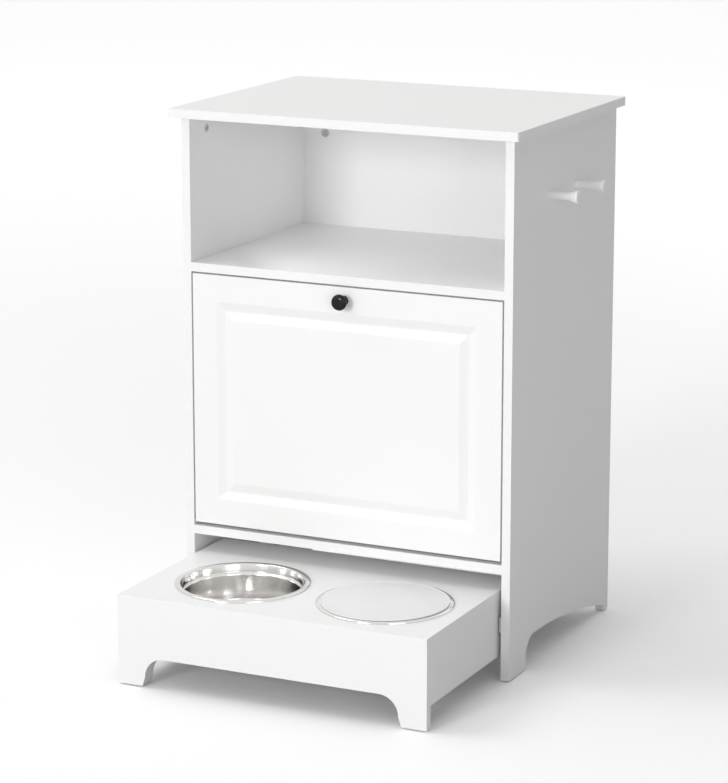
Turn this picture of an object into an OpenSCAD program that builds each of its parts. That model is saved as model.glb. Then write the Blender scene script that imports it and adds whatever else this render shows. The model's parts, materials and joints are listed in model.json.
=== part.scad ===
// Elevated dog feeder with storage.
// A white cabinet with an open shelf, a tilt-out storage bin and a
// pull-out feeding drawer that carries two steel bowls.
// Millimetres, Z up, front towards -Y. The drawer is drawn part way out.

/* [Cabinet] */
// Width over the two side panels
cab_w = 600; // [520:10:760]
// Depth of the side panels, front to back
cab_d = 450; // [405:5:540]
// Height of the top face above the floor
cab_h = 915; // [860:5:1000]
// Thickness of every board
board_t = 15; // [13:1:18]
// Overhang of the top board at the front
top_front = 20; // [5:1:40]
// Overhang of the top board at each side
top_side = 15; // [5:1:40]
// Overhang of the top board at the back
top_back = 5; // [0:1:30]
// Rounding of the top board's corners, seen from above
top_corner_r = 4; // [1:1:12]
// Height of the shelf's upper face above the floor
shelf_z = 655; // [630:5:700]
// Height of the lower deck's upper face above the floor
deck_z = 199; // [190:1:215]
// How far the back panel is set in from the rear edges
back_inset = 12; // [5:1:25]
// Height of the back panel's lower edge above the floor
back_z = 62; // [40:2:120]

/* [Feet and arches] */
// Thickness of the plastic glides under the feet
glide_t = 2.5; // [1.5:0.5:5]
// Diameter of a glide
glide_d = 12; // [9:1:13]
// Length of a side panel's front foot
side_foot = 72; // [45:1:90]
// Height of the side arch above the floor
side_arch_h = 56; // [40:1:70]
// Length of a side panel's rear toe
side_toe = 20; // [14:1:40]
// Height of the side arch where it meets the rear toe
side_arch_low = 12; // [6:1:30]
// Radius of the rounded corners of the arches
cove_r = 34; // [15:1:38]

/* [Door and bin] */
// Gap at each side of the door
door_side_gap = 3; // [2:0.5:5]
// Gap over the door
door_top_gap = 3; // [2:0.5:6]
// Gap under the door
door_bottom_gap = 6.5; // [4:0.5:8]
// Frame left round the routed groove
groove_margin = 45; // [30:1:70]
// Width of the routed groove
groove_w = 29.5; // [12:0.5:40]
// Depth of the routed groove
groove_deep = 4.5; // [2:0.5:6]
// Height of the bin's back above the pivot
bin_back_h = 320; // [220:5:340]
// Distance from the pivot to the outside of the bin's back
bin_reach = 253; // [180:1:260]
// Thickness of the bin boards
bin_t = 9; // [6:1:12]
// Gap from the door's edge to the bin's side
bin_side_in = 7; // [5:1:20]
// Height that the bin's sides add over its back, at the door
bin_rise = 50; // [20:5:60]
// Diameter of the pivot pins
pivot_d = 6; // [5:0.5:8]
// Height of the stop batten
batten_h = 25; // [20:1:35]
// Thickness of the stop batten
batten_t = 18; // [15:1:22]
// Thickness of the rubber bumpers that the door shuts on
bumper_t = 1.5; // [1:0.5:3]

/* [Knob and pegs] */
// Diameter of the knob's head
knob_d = 27; // [20:1:40]
// How far the knob stands out
knob_l = 25; // [18:1:35]
// Distance of the knob below the door's top edge
knob_down = 22; // [18:0.5:60]
// Length of a hanging peg outside the panel
peg_l = 53; // [30:1:80]
// Diameter of a peg's shaft
peg_d = 13; // [10:0.5:18]
// Diameter of a peg's head
peg_head_d = 21; // [18:0.5:30]
// Distance of the front peg from the front edge
peg_y = 147; // [60:1:180]
// Distance between the pegs
peg_pitch = 119; // [60:1:160]
// Distance of the pegs below the top face
peg_down = 125; // [60:0.5:200]

/* [Feeding drawer] */
// How far the drawer is drawn out
pull = 276; // [0:1:300]
// Height of the drawer's top face above the floor
drawer_z = 153; // [140:1:160]
// Height of the drawer's sides above the floor
drawer_side_z = 40; // [30:1:60]
// Gap for the runner between drawer and side panel
runner_gap = 8; // [8:0.5:13]
// Width of a front foot at the floor
foot_w = 44; // [35:1:70]
// How much wider a front foot is under the arch
foot_taper = 5; // [0:1:12]
// Height of the front arch above the floor
arch_h = 52; // [40:1:62]
// Thickness of the block behind each front foot
foot_block_t = 13; // [8:1:20]

/* [Drawer runners] */
// Length of a runner channel and of the drawer's sides
runner_l = 350; // [300:10:350]
// Height of a runner channel
runner_h = 26; // [22:1:32]
// Sheet thickness of a runner channel
runner_s = 1; // [0.8:0.1:1.2]
// Height of the runner's middle above the floor
runner_z = 96; // [88:1:104]
// Sheet thickness of a roller bracket
bracket_s = 1.5; // [1.2:0.1:2]
// Diameter of the pin that a roller turns on
roller_pin_d = 5; // [4:0.5:6]

/* [Bowls and lid] */
// Outer diameter of a bowl's rim
bowl_d = 225; // [180:1:230]
// Width of the rim's flange
bowl_rim_w = 10; // [6:0.5:14]
// Depth of a bowl below its rim
bowl_deep = 66; // [45:1:80]
// Diameter of a bowl's flat bottom
bowl_foot_d = 150; // [110:1:165]
// Wall of a bowl
bowl_wall = 1; // [0.8:0.1:1.5]
// Share of the drawer's free width that lies left of the bowls
left_share = 0.38; // [0.1:0.01:0.45]
// Share of the drawer's free width that lies between the bowls
between_share = 0.47; // [0.2:0.01:0.55]
// Distance of the bowls' middles from the drawer's front
bowl_y = 142; // [120:1:200]
// How far the lid reaches out over the bowl's mouth
lid_over = 3; // [2:0.5:5]
// Depth of the ring under the lid that centres it
lid_ring = 2.5; // [2:0.5:6]
// Thickness of the lid's sheet
lid_t = 1.6; // [1.2:0.1:2.5]

/* [Fittings] */
// Diameter of a cam lock
cam_d = 15; // [12:1:16]
// Depth of a cam lock in its board
cam_deep = 11; // [9:0.5:12]
// Distance from a cam lock's middle to the joint, side panels and shelves
cam_in = 26; // [24:1:34]
// Distance from a cam lock's middle to the joint, back panel
back_cam_in = 42; // [34:1:50]
// Distance of the back panel's upper cam locks below the top board
back_cam_down = 80; // [50:1:110]
// Diameter of a cam bolt
bolt_d = 6; // [5:0.5:7]
// Diameter of the wooden dowels
dowel_d = 8; // [6:0.5:9]
// Length of the wooden dowels
dowel_l = 30; // [24:1:36]
// Distance of the front fittings from the front edge
fit_front = 60; // [35:1:70]
// Diameter of the wood screws
screw_d = 3.5; // [3:0.5:4]

/* [Hidden] */
$fn = 48;
eps = 0.01;
fit = 0.15;          // clearance round a fixed fitting
run = 0.5;           // clearance between parts that move past each other
seat = 0.2;          // clearance under a bowl or lid that lifts off
pivot_run = 0.08;    // radial clearance of a pivot pin in its bush
bite = 9;            // length of a screw or bolt in the board that it joins

// board faces
in_l = board_t;                        // inner face of the left side panel
in_r = cab_w - board_t;                // inner face of the right side panel
mid_w = cab_w / 2;
under_top = cab_h - board_t;
back_y = cab_d - back_inset - board_t; // front face of the back panel
shelf_under = shelf_z - board_t;
deck_under = deck_z - board_t;

// door
door_x0 = in_l + door_side_gap;
door_x1 = in_r - door_side_gap;
door_z0 = deck_z + door_bottom_gap;
door_z1 = shelf_under - door_top_gap;
door_w = door_x1 - door_x0;
door_h = door_z1 - door_z0;
pivot_y = board_t / 2;
pivot_z = door_z0 + board_t / 2;
pivot_in = 14;                         // length of a pivot pin inside the door
bush_d = pivot_d + 4;
bush_l = 11;
knob_z = door_z1 - knob_down;

// bin, in the closed position
bin_x0 = door_x0 + bin_side_in;
bin_x1 = door_x1 - bin_side_in;
bin_y1 = pivot_y + bin_reach;
bin_z0 = pivot_z + 2;
bin_z1 = pivot_z + bin_back_h;
batten_y = board_t + bumper_t + seat;
batten_z = shelf_under - batten_h;
magnet_d = 12;
magnet_l = 10;
magnet_x = [mid_w - door_w / 8, mid_w + door_w / 8];
bumper_x = door_x0 + door_w / 13;
magnet_z = door_z1 - magnet_d / 2 - 5; // the strike plate stays inside the door
plate_d = magnet_d + 4;
plate_t = 1.2;

// drawer
dr_x0 = in_l + runner_gap;
dr_x1 = in_r - runner_gap;
dr_w = dr_x1 - dr_x0;
dr_y0 = -pull;
dr_y1 = dr_y0 + board_t + runner_l;    // the sides are as long as the runners
dr_in0 = dr_x0 + board_t;
dr_in1 = dr_x1 - board_t;
dr_under = drawer_z - board_t;
foot_top = foot_w + foot_taper;

// runners: a channel on the cabinet, a roller near the drawer's rear end
runner_y = 5;                          // set back from the cabinet's front
runner_air = 0.4;                      // gap beside a roller, sideways
runner_deep = runner_gap - bracket_s - runner_air;
roller_air = 0.3;                      // gap between a roller and its channel
roller_d = runner_h - 2 * runner_s - 2 * roller_air;
roller_x0 = in_l + runner_s + runner_air;
roller_x1 = dr_x0 - bracket_s - runner_air;
roller_y = dr_y0 + runner_y + runner_l - runner_s - roller_air - roller_d / 2;

// bowls
free_w = dr_in1 - dr_in0 - 2 * bowl_d; // inside the drawer, beside the bowls
bowl_x0 = dr_in0 + left_share * free_w + bowl_d / 2;
bowl_x = [bowl_x0, bowl_x0 + bowl_d + between_share * free_w];
bowl_cy = dr_y0 + bowl_y;
mouth_r = bowl_d / 2 - bowl_rim_w;     // inner edge of the rim
hole_r = mouth_r + bowl_wall + 0.8;    // hole in the drawer's top
rim_h = 3;

// the origin sits under the middle of the whole part
ends_x = [-top_side, cab_w + max(top_side, peg_l)];
ends_y = [min(-top_front, dr_y0, -knob_l), cab_d + top_back];
mid_x = (ends_x[0] + ends_x[1]) / 2;
mid_y = (ends_y[0] + ends_y[1]) / 2;

white = [0.95, 0.95, 0.94];
steel = [0.72, 0.72, 0.72];
zinc = [0.62, 0.63, 0.65];
black = [0.05, 0.05, 0.05];
wood = [0.80, 0.66, 0.46];
grey = [0.45, 0.45, 0.46];

// ---------- helpers ----------

// puts a piece drawn in cabinet coordinates into the part's frame
module place() { translate([-mid_x, -mid_y, 0]) children(); }

// a mirrored copy about the cabinet's middle plane
module other_side() { translate([cab_w, 0, 0]) mirror([1, 0, 0]) children(); }
module both_sides() { children(); other_side() children(); }

// a box between two corners
module block(a, b) { translate(a) cube(b - a); }

// a cylinder from a point along an axis: "x", "y" or "z", either way
module rod(p, axis, l, d) {
  translate(p)
    rotate(axis == "x" ? [0, 90, 0] : axis == "y" ? [-90, 0, 0] : [0, 0, 0])
      translate([0, 0, min(l, 0)]) cylinder(h = abs(l), d = d);
}

// a cross cut into a face at the origin
module cross_slot(l, w, deep) for (a = [0, 90])
  rotate([0, 0, a]) translate([-l / 2, -w / 2, -deep]) cube([l, w, 2 * deep]);

// a countersunk screw, head face at the origin, pointing along -Z
module screw(l, grow = 0) {
  head = 2 * screw_d;
  shank = screw_d + 2 * grow;
  difference() {
    union() {
      translate([0, 0, -screw_d / 2 - grow])
        cylinder(h = screw_d / 2 + grow, d1 = shank, d2 = head + 2 * grow);
      translate([0, 0, -l - grow]) cylinder(h = l, d = shank);
    }
    if (grow == 0) cross_slot(head * 2 / 3, 0.8, 1);
  }
}

// a cam lock: disc with a cross slot, face at the origin, body along -Z
module cam() {
  mouth = bolt_d + 2 * fit;
  difference() {
    translate([0, 0, -cam_deep]) cylinder(h = cam_deep, d = cam_d);
    rotate([0, 0, 45]) cross_slot(cam_d * 2 / 3, 1.6, 2);
    // mouth that takes the bolt's head
    translate([-mouth / 2, -cam_d, -(board_t + mouth) / 2]) cube([mouth, cam_d, mouth]);
  }
}
module cam_hole() translate([0, 0, -cam_deep - fit])
  cylinder(h = cam_deep + fit + 1, d = cam_d + 2 * fit);

// ---------- places of the fittings ----------

fit_rear = back_y - fit_front;
side_cam_z = under_top - cam_in;
back_cam_z = [under_top - back_cam_down, (shelf_under + deck_z) / 2, deck_z + back_cam_in];
shelf_levels = [shelf_under, deck_under];
dowel_y = [back_y / 4, back_y * 3 / 4];

// a cam lock's mouth faces the joint that it draws together
module side_cams_at() for (y = [fit_front, fit_rear])
  translate([in_l, y, side_cam_z]) rotate([0, 90, 0]) rotate([0, 0, -90]) children();
module back_cams_at() for (z = back_cam_z)
  translate([in_l + back_cam_in, back_y, z]) rotate([90, 0, 0]) rotate([0, 0, -90]) children();
module shelf_cams_at() for (z = shelf_levels, y = [fit_front, fit_rear])
  translate([in_l + cam_in, y, z]) rotate([180, 0, 0]) rotate([0, 0, -90]) children();

// bolts run from a cam lock's middle into the joined board
module top_bolts_at(grow = 0) for (y = [fit_front, fit_rear]) {
  rod([in_l - board_t / 2, y, side_cam_z - grow], "z", cam_in + grow + eps, bolt_d + 2 * grow);
  rod([in_l - board_t / 2, y, under_top], "z", bite + grow, bolt_d + 2 * grow);
}
module back_bolts_at(grow = 0) for (z = back_cam_z)
  bolt_from([in_l + back_cam_in, back_y + board_t / 2, z], back_cam_in, grow);
module shelf_bolts_at(grow = 0) for (z = shelf_levels, y = [fit_front, fit_rear])
  bolt_from([in_l + cam_in, y, z + board_t / 2], cam_in, grow);
module bolt_from(p, reach, grow)
  rod([p[0] + grow, p[1], p[2]], "x", -(reach + bite + 2 * grow), bolt_d + 2 * grow);

// a wooden dowel, started at a point and running along an axis
module dowel(p, axis, grow) {
  back = axis == "x" ? [grow, 0, 0] : axis == "y" ? [0, grow, 0] : [0, 0, grow];
  rod(p - back, axis, dowel_l + 2 * grow, dowel_d + 2 * grow);
}
module dowels_at(grow = 0) {
  for (z = shelf_levels, y = dowel_y) dowel([in_l - dowel_l / 3, y, z + board_t / 2], "x", grow);
  for (y = dowel_y) dowel([in_l - board_t / 2, y, under_top - dowel_l * 2 / 3], "z", grow);
}

peg_places = [peg_y, peg_y + peg_pitch];
peg_z = cab_h - peg_down;
peg_hole_deep = 5;                     // depth of a peg's stub in the panel
peg_screw_in = 22;                     // how far a peg's screw passes the panel
module peg_screws_at(grow = 0) for (y = peg_places)
  translate([in_r + fit, y, peg_z]) rotate([0, -90, 0]) screw(board_t + peg_screw_in, grow);

runner_screw_y = [for (s = [0.07, 0.5, 0.93]) runner_y + s * runner_l];
module runner_screws_at(grow = 0) for (y = runner_screw_y)
  translate([in_l + runner_s, y, runner_z]) rotate([0, 90, 0]) screw(runner_s + bite, grow);

bracket_screw_in = [2 * screw_d, 6 * screw_d]; // places from the bracket's front end
bracket_y0 = roller_y - roller_d / 2 - 8 * screw_d;
module bracket_screws_at(grow = 0) for (d = bracket_screw_in)
  translate([dr_x0 - bracket_s, bracket_y0 + d, runner_z]) rotate([0, -90, 0])
    screw(bracket_s + bite, grow);

glide_places = [[board_t / 2, side_foot / 2], [board_t / 2, cab_d - side_toe / 2]];
drawer_glide_x = dr_x0 + foot_w / 2;
glide_pin_d = 3;
glide_pin_l = 8;
module glide(grow) {
  cylinder(h = glide_t, d = glide_d);
  translate([0, 0, glide_t - eps]) cylinder(h = glide_pin_l + grow, d = glide_pin_d + 2 * grow);
}
module cabinet_glides_at(grow = 0) for (p = glide_places) translate([p[0], p[1], 0]) glide(grow);
module drawer_glides_at(grow = 0) translate([drawer_glide_x, dr_y0 + board_t / 2, 0]) glide(grow);

// ---------- cabinet boards ----------

module top_board() color(white) place() difference() {
  translate([-top_side, -top_front, under_top])
    eased_board(cab_w + 2 * top_side, cab_d + top_front + top_back, board_t);
  both_sides() { top_bolts_at(fit); dowels_at(fit); }
}

// a flat board with rounded corners
module eased_board(w, d, h) {
  r = top_corner_r;
  translate([r, r, 0]) linear_extrude(h) union() {
    translate([0, -r]) square([w - 2 * r, d]);
    translate([-r, 0]) square([w, d - 2 * r]);
    for (x = [0, w - 2 * r], y = [0, d - 2 * r]) translate([x, y]) circle(r);
  }
}

// outline of a side panel, drawn with the front at the left
module side_outline() {
  a = side_foot; b = cab_d - side_toe;
  n = 22;
  rise = side_arch_h - side_arch_low;
  difference() {
    translate([0, glide_t]) square([cab_d, under_top - glide_t]);
    translate([a, -1]) square([cove_r * 2, side_arch_h - cove_r + 1]);
    translate([a + cove_r, side_arch_h - cove_r]) circle(cove_r);
    polygon(concat([[b, -1], [a + cove_r, -1]],
      [for (i = [0:n]) let(s = i / n) [a + cove_r + s * (b - a - cove_r), side_arch_h - rise * s * s]]));
  }
}

module side_board() difference() {
  rotate([90, 0, 90]) linear_extrude(board_t) side_outline();
  side_cams_at() cam_hole();
  top_bolts_at(fit);
  back_bolts_at(fit);
  shelf_bolts_at(fit);
  dowels_at(fit);
  runner_screws_at(fit);
  cabinet_glides_at(fit);
  rod([in_l - bush_l - fit, pivot_y, pivot_z], "x", board_t, bush_d + 2 * fit);
}

module left_side_panel() color(white) place() side_board();

module right_side_panel() color(white) place() difference() {
  other_side() side_board();
  peg_screws_at(fit);
  for (y = peg_places) rod([cab_w - peg_hole_deep, y, peg_z], "x", peg_hole_deep + 1, peg_d + 2 * fit);
}

module back_panel() color(white) place() difference() {
  block([in_l, back_y, back_z], [in_r, back_y + board_t, under_top]);
  both_sides() { back_cams_at() cam_hole(); back_bolts_at(fit); }
}

module shelf_like(z) difference() {
  block([in_l, 0, z - board_t], [in_r, back_y, z]);
  both_sides() { shelf_cams_at() cam_hole(); shelf_bolts_at(fit); dowels_at(fit); }
}

module middle_shelf() color(white) place() difference() {
  shelf_like(shelf_z);
  batten_screws_at(fit);
}

module lower_deck() color(white) place() shelf_like(deck_z);

// ---------- cabinet fittings ----------

batten_screw_x = [for (s = [0.07, 0.5, 0.93]) in_l + s * (in_r - in_l)];
module batten_screws_at(grow = 0) for (x = batten_screw_x)
  translate([x, batten_y + batten_t / 2, batten_z]) rotate([180, 0, 0]) screw(batten_h + 9, grow);

module stop_batten() color(white) place() difference() {
  block([in_l + run, batten_y, batten_z], [in_r - run, batten_y + batten_t, shelf_under]);
  batten_screws_at(fit);
  for (x = magnet_x) rod([x, batten_y - 1, magnet_z], "y", magnet_l + 1 + fit, magnet_d + 2 * fit);
}

module batten_screws() color(zinc) place() batten_screws_at();

module door_bumpers() color(grey) place() both_sides()
  rod([bumper_x, batten_y, magnet_z], "y", -bumper_t, 10);

module magnets() color(zinc) place() for (x = magnet_x)
  rod([x, batten_y, magnet_z], "y", magnet_l, magnet_d);

module side_cam_locks() color(zinc) place() both_sides() side_cams_at() cam();
module back_cam_locks() color(zinc) place() both_sides() back_cams_at() cam();
module shelf_cam_locks() color(zinc) place() both_sides() shelf_cams_at() cam();

module top_cam_bolts() color(zinc) place() both_sides() top_bolts_at();
module back_cam_bolts() color(zinc) place() both_sides() back_bolts_at();
module shelf_cam_bolts() color(zinc) place() both_sides() shelf_bolts_at();
module board_dowels() color(wood) place() both_sides() dowels_at();

// a hanging peg: stub in the panel, straight shaft, flared head
module peg(y) difference() {
  translate([cab_w - peg_hole_deep, y, peg_z]) rotate([0, 90, 0]) rotate_extrude()
    polygon([[0, 0], [peg_d / 2, 0], [peg_d / 2, peg_hole_deep + peg_l * 0.62],
      [peg_d / 2 + 0.6, peg_hole_deep + peg_l * 0.72], [peg_head_d / 2 - 1.6, peg_hole_deep + peg_l * 0.85],
      [peg_head_d / 2, peg_hole_deep + peg_l * 0.91], [peg_head_d / 2 - 0.4, peg_hole_deep + peg_l - 2],
      [peg_head_d / 2 - 2.4, peg_hole_deep + peg_l], [0, peg_hole_deep + peg_l]]);
  peg_screws_at(fit);
}
module front_peg() color(white) place() peg(peg_places[0]);
module rear_peg() color(white) place() peg(peg_places[1]);
module peg_screws() color(zinc) place() peg_screws_at();

module pivot_bushes() color(grey) place() both_sides() difference() {
  union() {
    rod([in_l - bush_l, pivot_y, pivot_z], "x", bush_l, bush_d);
    rod([in_l, pivot_y, pivot_z], "x", 1, bush_d + 3);
  }
  rod([in_l - bush_l + 1, pivot_y, pivot_z], "x", bush_l + 2, pivot_d + 2 * pivot_run);
}

module cabinet_glides() color(grey) place() both_sides() cabinet_glides_at();

// ---------- drawer runners ----------

// a channel with closed ends, its web on the side panel
module runner() difference() {
  block([in_l, runner_y, runner_z - runner_h / 2],
    [in_l + runner_deep, runner_y + runner_l, runner_z + runner_h / 2]);
  block([in_l + runner_s, runner_y + runner_s, runner_z - runner_h / 2 + runner_s],
    [dr_x0, runner_y + runner_l - runner_s, runner_z + runner_h / 2 - runner_s]);
  runner_screws_at(fit);
}
module left_runner() color(zinc) place() runner();
module right_runner() color(zinc) place() other_side() runner();
module runner_screws() color(zinc) place() both_sides() runner_screws_at();

// a bracket on the drawer's side, with the pin that carries the roller
roller_head_d = roller_pin_d + 3;
roller_head_t = 1;
bracket_h = runner_h - 4 * runner_s - 4 * roller_air;
bracket_r = bracket_h / 2;
head_x = roller_x0 + 0.2;              // outer face of the pin's head
module roller_bracket() difference() {
  union() {
    block([dr_x0 - bracket_s, bracket_y0, runner_z - bracket_r], [dr_x0, roller_y, runner_z + bracket_r]);
    rod([dr_x0 - bracket_s, roller_y, runner_z], "x", bracket_s, bracket_h);
    rod([head_x, roller_y, runner_z], "x", dr_x0 - head_x, roller_pin_d);
    rod([head_x, roller_y, runner_z], "x", roller_head_t, roller_head_d);
  }
  bracket_screws_at(fit);
}
module roller_brackets() color(zinc) place() both_sides() roller_bracket();
module bracket_screws() color(zinc) place() both_sides() bracket_screws_at();

// a nylon roller, crowned a little, with a recess for the pin's head
module roller() {
  w = roller_x1 - roller_x0;
  bore = roller_pin_d / 2 + pivot_run;
  recess = roller_head_d / 2 + 2 * pivot_run;
  sunk = head_x - roller_x0 + roller_head_t + 2 * pivot_run;
  r = roller_d / 2;
  translate([roller_x0, roller_y, runner_z]) rotate([0, 90, 0]) rotate_extrude()
    polygon([[recess, 0], [r - 0.8, 0], [r - 0.2, 0.6], [r, w / 2], [r - 0.2, w - 0.6],
      [r - 0.8, w], [bore, w], [bore, sunk], [recess, sunk]]);
}
module left_roller() color(grey) place() roller();
module right_roller() color(grey) place() other_side() roller();

// ---------- feeding drawer ----------

cleat_s = 18;                          // section of the cleats
cleat_clear = 6;                       // gap at each end of a cleat
cleat_y0 = bowl_cy + hole_r + cleat_clear;
cleat_y1 = dr_y1 - board_t - cleat_clear;
cleat_l = cleat_y1 - cleat_y0;

// the cleats sit behind the bowls
module cleat_screws_at(grow = 0) for (s = [0.15, 0.65]) {
  translate([dr_in0 + cleat_s / 2, cleat_y0 + s * cleat_l, dr_under - cleat_s])
    rotate([180, 0, 0]) screw(cleat_s + bite, grow);
  translate([dr_in0 + cleat_s, cleat_y0 + (s + 0.2) * cleat_l, dr_under - cleat_s / 2])
    rotate([0, 90, 0]) screw(cleat_s + bite, grow);
}

// dowels that join the drawer's front and back to its sides and top
dowel_skin = 6;                        // board left over a dowel's end
dowel_up = 18;                         // the lower dowels over the sides' lower edges
dowel_down = 14;                       // the upper dowels under the drawer's top board
module drawer_dowels_at(grow = 0) {
  for (z = [drawer_side_z + dowel_up, dr_under - dowel_down]) {
    dowel([dr_x0 + board_t / 2, dr_y0 + dowel_skin, z], "y", grow);
    dowel([dr_x0 + dowel_skin, dr_y1 - board_t / 2, z], "x", grow);
  }
  dowel([dr_x0 + foot_w, dr_y0 + board_t / 2, dr_under - dowel_l * 2 / 3], "z", grow);
}

module drawer_top() color(white) place() difference() {
  block([dr_x0, dr_y0, dr_under], [dr_x1, dr_y1, drawer_z]);
  for (x = bowl_x) rod([x, bowl_cy, dr_under - 1], "z", board_t + 2, 2 * hole_r);
  both_sides() { cleat_screws_at(fit); drawer_dowels_at(fit); }
}

// the arch between the front feet
module front_arch() {
  a = dr_x0 + foot_w; b = dr_x0 + foot_top;
  low = arch_h - cove_r;
  polygon([[a, -1], [a, glide_t], [b, low], [cab_w - b, low], [cab_w - a, glide_t], [cab_w - a, -1]]);
  translate([b + cove_r, low - eps]) square([cab_w - 2 * b - 2 * cove_r, cove_r + eps]);
  for (x = [b + cove_r, cab_w - b - cove_r]) translate([x, low]) circle(cove_r);
}

module drawer_front() color(white) place() difference() {
  translate([0, dr_y0 + board_t, 0]) rotate([90, 0, 0]) linear_extrude(board_t) difference() {
    translate([dr_x0, glide_t]) square([dr_w, dr_under - glide_t]);
    front_arch();
  }
  both_sides() { drawer_dowels_at(fit); foot_block_screws_at(fit); drawer_glides_at(fit); }
}

module drawer_side() difference() {
  block([dr_x0, dr_y0 + board_t, drawer_side_z], [dr_in0, dr_y1, dr_under]);
  bracket_screws_at(fit);
  cleat_screws_at(fit);
  drawer_dowels_at(fit);
}
module drawer_left_side() color(white) place() drawer_side();
module drawer_right_side() color(white) place() other_side() drawer_side();

module drawer_back() color(white) place() difference() {
  block([dr_in0, dr_y1 - board_t, drawer_side_z], [dr_in1, dr_y1, dr_under]);
  both_sides() drawer_dowels_at(fit);
}

module top_cleats() color(wood) place() both_sides() difference() {
  block([dr_in0, cleat_y0, dr_under - cleat_s], [dr_in0 + cleat_s, cleat_y1, dr_under]);
  cleat_screws_at(fit);
}
module cleat_screws() color(zinc) place() both_sides() cleat_screws_at();

block_top = drawer_z * 2 / 3;          // top of the blocks behind the feet
block_back = dr_y0 + board_t + foot_block_t;
block_screw_up = 22;                   // the lower screws over the glides
block_screw_down = 12;                 // the upper screws under the blocks' top
block_screw_in = 8;                    // the screws from the drawer side's inner face
module foot_block_screws_at(grow = 0) for (z = [glide_t + block_screw_up, block_top - block_screw_down])
  translate([dr_in0 + block_screw_in, block_back, z]) rotate([-90, 0, 0]) screw(foot_block_t + bite, grow);

module foot_blocks() color(white) place() both_sides() difference() {
  translate([0, block_back, 0]) rotate([90, 0, 0]) linear_extrude(foot_block_t) difference() {
    translate([dr_in0, glide_t]) square([foot_top + cove_r - board_t, block_top - glide_t]);
    front_arch();
  }
  foot_block_screws_at(fit);
}
module foot_block_screws() color(zinc) place() both_sides() foot_block_screws_at();

module drawer_dowels() color(wood) place() both_sides() drawer_dowels_at();
module drawer_glides() color(grey) place() both_sides() drawer_glides_at();

// ---------- door and bin ----------

// a block that tapers from y0 to y1 by the same step on all four sides
module taper(x0, x1, z0, z1, y0, y1, step) intersection() {
  linear_extrude(door_z1 + 10) polygon([[x0, y0], [x1, y0], [x1 - step, y1], [x0 + step, y1]]);
  rotate([90, 0, 90]) linear_extrude(cab_w)
    polygon([[y0, z0], [y0, z1], [y1, z1 - step], [y1, z0 + step]]);
}

// the routed groove: two slopes that meet in a V, mitred at the corners
module groove() {
  half = groove_w / 2;
  slope = half / groove_deep;
  outer = groove_margin - slope;
  inner = groove_margin + half;
  difference() {
    taper(door_x0 + outer, door_x1 - outer, door_z0 + outer, door_z1 - outer,
      -1, groove_deep, half + slope);
    mirror([0, 1, 0]) translate([0, -groove_deep, 0])
      taper(door_x0 + inner, door_x1 - inner, door_z0 + inner, door_z1 - inner,
        0, groove_deep + 2, half + 2 * slope);
  }
}

knob_screw_l = 26;
knob_screw_sunk = 2.5;
module knob_screw_at(grow = 0) translate([mid_w, board_t - knob_screw_sunk, knob_z])
  rotate([-90, 0, 0]) screw(knob_screw_l, grow);

pivot_l = bush_l - 2 + door_side_gap + pivot_in;
module pivot_pins_at(grow = 0)
  rod([in_l - bush_l + 2, pivot_y, pivot_z], "x", pivot_l + grow, pivot_d + 2 * grow);

// screws through the bin's sides into its back and bottom
bin_screw_in = 20;
bin_screw_z = [for (s = [0.15, 0.55, 0.94]) bin_z0 + s * (bin_z1 - bin_z0)];
bin_screw_y = [for (s = [0.15, 0.85]) board_t + s * (bin_y1 - board_t)];
bin_screw_places = concat([for (z = bin_screw_z) [bin_y1 - bin_t / 2, z]],
  [for (y = bin_screw_y) [y, bin_z0 + bin_t / 2]]);
module bin_screws_at(grow = 0) for (p = bin_screw_places)
  translate([bin_x0, p[0], p[1]]) rotate([0, -90, 0]) screw(bin_t + bin_screw_in, grow);

// dowels that join the bin's sides to the door
bin_dowel_d = bin_t - 4;
bin_dowel_l = 25;
bin_dowel_in = 7;                      // depth of a dowel in the door
bin_dowel_z = [for (s = [0.14, 0.54, 0.93]) bin_z0 + s * (bin_z1 + bin_rise - bin_z0)];
module bin_dowels_at(grow = 0) for (z = bin_dowel_z)
  rod([bin_x0 + bin_t / 2, board_t - bin_dowel_in - grow, z], "y",
    bin_dowel_l + 2 * grow, bin_dowel_d + 2 * grow);
module bin_dowels() color(wood) place() both_sides() bin_dowels_at();

module door_panel() color(white) place() difference() {
  block([door_x0, 0, door_z0], [door_x1, board_t, door_z1]);
  groove();
  knob_screw_at(fit);
  rod([mid_w, board_t - knob_screw_sunk, knob_z], "y", 2 * knob_screw_sunk, 3 * screw_d);
  both_sides() {
    pivot_pins_at(fit);
    strike_at(fit);
    bin_dowels_at(fit);
  }
}

module strike_at(grow = 0)
  rod([magnet_x[0], board_t - plate_t - grow, magnet_z], "y", plate_t + 2 * grow, plate_d + 2 * grow);
module strike_plates() color(steel) place() both_sides() strike_at();
module pivot_pins() color(steel) place() both_sides() pivot_pins_at();
module knob_screw() color(zinc) place() knob_screw_at();

// half section of the knob: base flange, waist and mushroom head
module knob_section() {
  base = knob_d * 0.3;
  waist = knob_d * 0.22;
  swell = knob_l * 0.2;
  polygon(concat(
    [[0, 0], [base, 0], [base, 2], [waist + 0.3, 5], [waist, knob_l * 0.42], [base, knob_l * 0.55]],
    [for (a = [-60:15:60]) [knob_d / 2 - swell * (1 - cos(a)), knob_l * (0.75 + 0.2 * sin(a))]],
    [[base, knob_l * 0.98], [base / 2, knob_l], [0, knob_l]]));
}
module door_knob() color(black) place() difference() {
  translate([mid_w, 0, knob_z]) rotate([90, 0, 0]) rotate_extrude() knob_section();
  knob_screw_at(fit);
}

bin_level = bin_reach * 0.16;          // level length at each end of a side's top edge

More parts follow.
